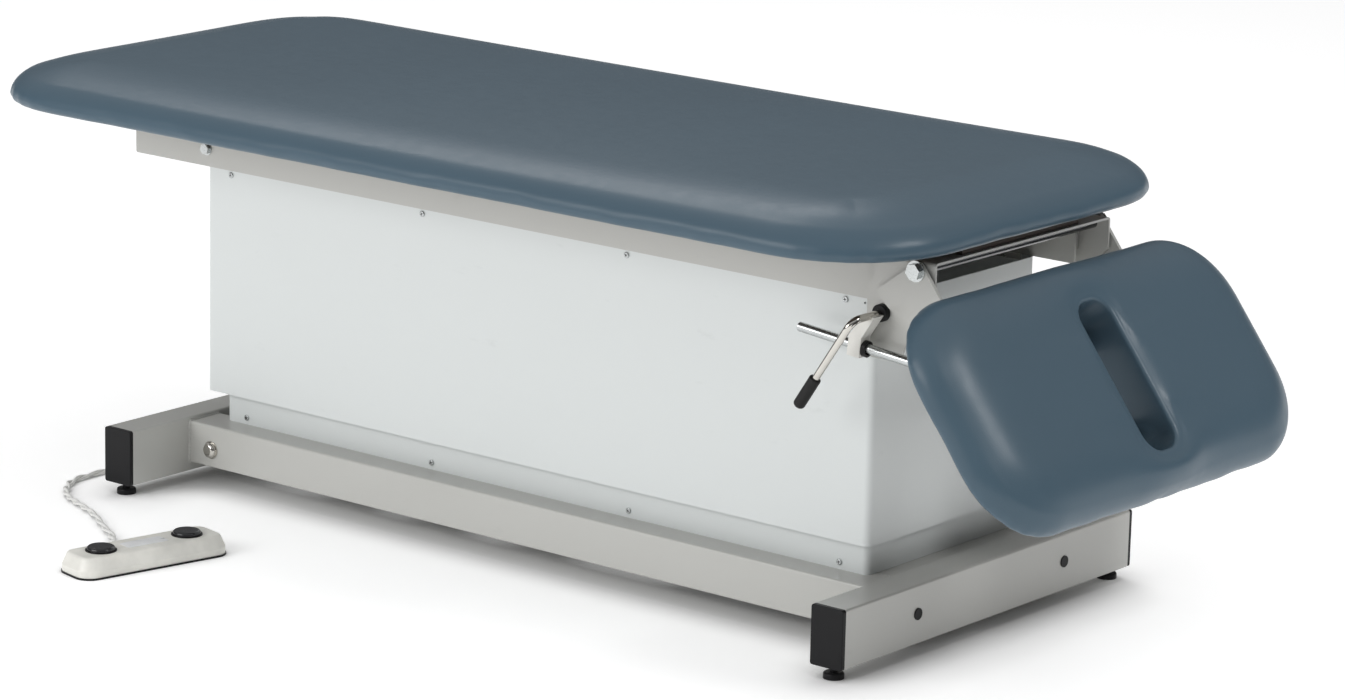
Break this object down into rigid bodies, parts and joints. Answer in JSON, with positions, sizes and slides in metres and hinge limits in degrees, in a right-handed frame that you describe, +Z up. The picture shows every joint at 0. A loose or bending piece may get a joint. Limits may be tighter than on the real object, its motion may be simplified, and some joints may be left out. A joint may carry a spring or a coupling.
{
  "type": "powered medical exam table",
  "caption": "Padded exam table with a hinged drop section, telescoping covers over a scissor lift, a floor frame and a foot switch.",
  "frame": {"origin": "on the floor under the middle of the floor frame", "axes": "+X along the table towards the drop section, -Y the side with the lock lever and the foot switch, +Z up"},
  "size_m": [1.7441, 0.9679, 0.569],
  "materials": {
    "frame_steel": "satin",
    "lift_steel": "satin",
    "cover_sheet": "satin",
    "black_plastic": "matte",
    "slide_strip": "matte",
    "shaft_steel": "satin",
    "roller_nylon": "matte",
    "bright_fastener": "polished",
    "pad_vinyl": "satin",
    "plywood": "matte",
    "dark_steel": "satin",
    "zinc_rod": "satin",
    "white_nylon": "matte",
    "chrome_lever": "polished",
    "black_grip": "matte",
    "switch_shell": "satin",
    "button_black": "gloss"
  },
  "bodies": {
    "base": {"left_foot_tube": "frame_steel", "right_foot_tube": "frame_steel", "foot_end_caps": "black_plastic", "tube_plugs": "black_plastic", "front_base_rail": "frame_steel", "back_base_rail": "frame_steel", "power_inlet": "black_plastic", "base_cross_members": "frame_steel", "lower_roller_tracks": "lift_steel", "lower_pivot_shaft": "bright_fastener", "lower_cover": "cover_sheet", "lower_cover_screws": "bright_fastener", "lower_cover_strips": "slide_strip", "actuator_bracket": "lift_steel", "control_box": "black_plastic", "foot_switch_base": "black_plastic", "foot_switch_case": "switch_shell", "cord_gland": "black_plastic", "foot_switch_cord": "switch_shell"},
    "foot_front_left": {"levelling_foot_front_left": "black_plastic"},
    "foot_back_left": {"levelling_foot_back_left": "black_plastic"},
    "foot_front_right": {"levelling_foot_front_right": "black_plastic"},
    "foot_back_right": {"levelling_foot_back_right": "black_plastic"},
    "scissor_a": {"scissor_arms_a": "lift_steel", "scissor_shafts_a": "shaft_steel"},
    "scissor_b": {"scissor_arms_b": "lift_steel", "scissor_shafts_b": "shaft_steel"},
    "rollers_upper": {"upper_rollers": "roller_nylon"},
    "rollers_lower": {"lower_rollers": "roller_nylon"},
    "actuator": {"actuator_body": "lift_steel"},
    "actuator_piston": {"actuator_rod": "shaft_steel"},
    "table_top": {"upper_cover": "cover_sheet", "upper_cover_screws": "bright_fastener", "upper_cover_strips": "slide_strip", "front_top_rail": "frame_steel", "back_top_rail": "frame_steel", "top_cross_members": "frame_steel", "upper_roller_tracks": "lift_steel", "upper_pivot_shaft": "shaft_steel", "frame_blocks": "frame_steel", "frame_bolts": "bright_fastener", "support_boards": "plywood", "main_pad": "pad_vinyl", "main_board": "plywood", "hinge_bracket": "frame_steel", "cross_rod": "shaft_steel", "hinge_bolts": "bright_fastener", "lever_bushing": "black_plastic"},
    "drop_section": {"drop_arms": "frame_steel", "drop_cross_bars": "dark_steel", "drop_pad": "pad_vinyl", "drop_board": "plywood", "rod_pivot_pin": "bright_fastener"},
    "lock_bar": {"lock_rod": "zinc_rod"},
    "clamp": {"clamp_block": "white_nylon", "clamp_collar": "black_plastic"},
    "lever": {"lock_lever": "chrome_lever", "lever_grip": "black_grip"},
    "button_lower": {"foot_button_lower": "button_black"},
    "button_raise": {"foot_button_raise": "button_black"}
  },
  "joints": [
    {"name": "lift", "type": "hinge", "parent": "base", "child": "scissor_a", "pos_m": [-0.533, 0, 0.053], "axis": [0, -1, 0], "range_deg": [0, 18.81]},
    {"name": "lift_cross", "type": "hinge", "parent": "scissor_a", "child": "scissor_b", "pos_m": [-0.0495, 0, 0.257], "axis": [0, -1, 0], "range_deg": [-37.7, 0]},
    {"name": "lift_top", "type": "hinge", "parent": "scissor_b", "child": "table_top", "pos_m": [-0.533, 0, 0.461], "axis": [0, -1, 0], "range_deg": [0, 18.9]},
    {"name": "upper_rollers_spin", "type": "hinge", "parent": "scissor_a", "child": "rollers_upper", "pos_m": [0.434, 0, 0.461], "axis": [0, 1, 0], "continuous": true},
    {"name": "lower_rollers_spin", "type": "hinge", "parent": "scissor_b", "child": "rollers_lower", "pos_m": [0.434, 0, 0.053], "axis": [0, 1, 0], "continuous": true},
    {"name": "actuator_swing", "type": "hinge", "parent": "base", "child": "actuator", "pos_m": [0, 0, 0.06], "axis": [0, -1, 0], "range_deg": [0, 0.3]},
    {"name": "actuator_stroke", "type": "slide", "parent": "actuator", "child": "actuator_piston", "axis": [-0.9281, 0, 0.3724], "range_m": [0, 0.0676]},
    {"name": "drop_hinge", "type": "hinge", "parent": "table_top", "child": "drop_section", "pos_m": [0.627, 0, 0.489], "axis": [0, 1, 0], "range_deg": [-52.7, 32.3]},
    {"name": "lock_bar_pivot", "type": "hinge", "parent": "drop_section", "child": "lock_bar", "pos_m": [0.686, -0.203, 0.37494], "axis": [0, 1, 0], "range_deg": [-13.2, 21.4]},
    {"name": "clamp_pivot", "type": "hinge", "parent": "table_top", "child": "clamp", "pos_m": [0.5749, -0.203, 0.4287], "axis": [0, 1, 0], "range_deg": [-31.8, 19.6]},
    {"name": "lever_turn", "type": "hinge", "parent": "table_top", "child": "lever", "pos_m": [0.5749, -0.203, 0.4287], "axis": [0, 1, 0], "range_deg": [-15, 35]},
    {"name": "level_front_left", "type": "slide", "parent": "base", "child": "foot_front_left", "axis": [0, 0, 1], "range_m": [0, 0.007]},
    {"name": "level_back_left", "type": "slide", "parent": "base", "child": "foot_back_left", "axis": [0, 0, 1], "range_m": [0, 0.007]},
    {"name": "level_front_right", "type": "slide", "parent": "base", "child": "foot_front_right", "axis": [0, 0, 1], "range_m": [0, 0.007]},
    {"name": "level_back_right", "type": "slide", "parent": "base", "child": "foot_back_right", "axis": [0, 0, 1], "range_m": [0, 0.007]},
    {"name": "press_lower", "type": "slide", "parent": "base", "child": "button_lower", "axis": [0, 0, -1], "range_m": [0, 0.003], "stiffness_N_per_m": 300, "springref_m": -0.003},
    {"name": "press_raise", "type": "slide", "parent": "base", "child": "button_raise", "axis": [0, 0, -1], "range_m": [0, 0.003], "stiffness_N_per_m": 300, "springref_m": -0.003}
  ],
  "couplings": [
    {"joint": "lift_cross", "follows": "lift", "ratio": -2},
    {"joint": "lift_top", "follows": "lift", "ratio": 1},
    {"joint": "actuator_swing", "follows": "lift", "ratio": 0.0109},
    {"joint": "actuator_stroke", "follows": "lift", "m_per_rad": 0.2052},
    {"joint": "lock_bar_pivot", "follows": "drop_hinge", "ratio": -0.402},
    {"joint": "clamp_pivot", "follows": "drop_hinge", "ratio": 0.598}
  ]
}
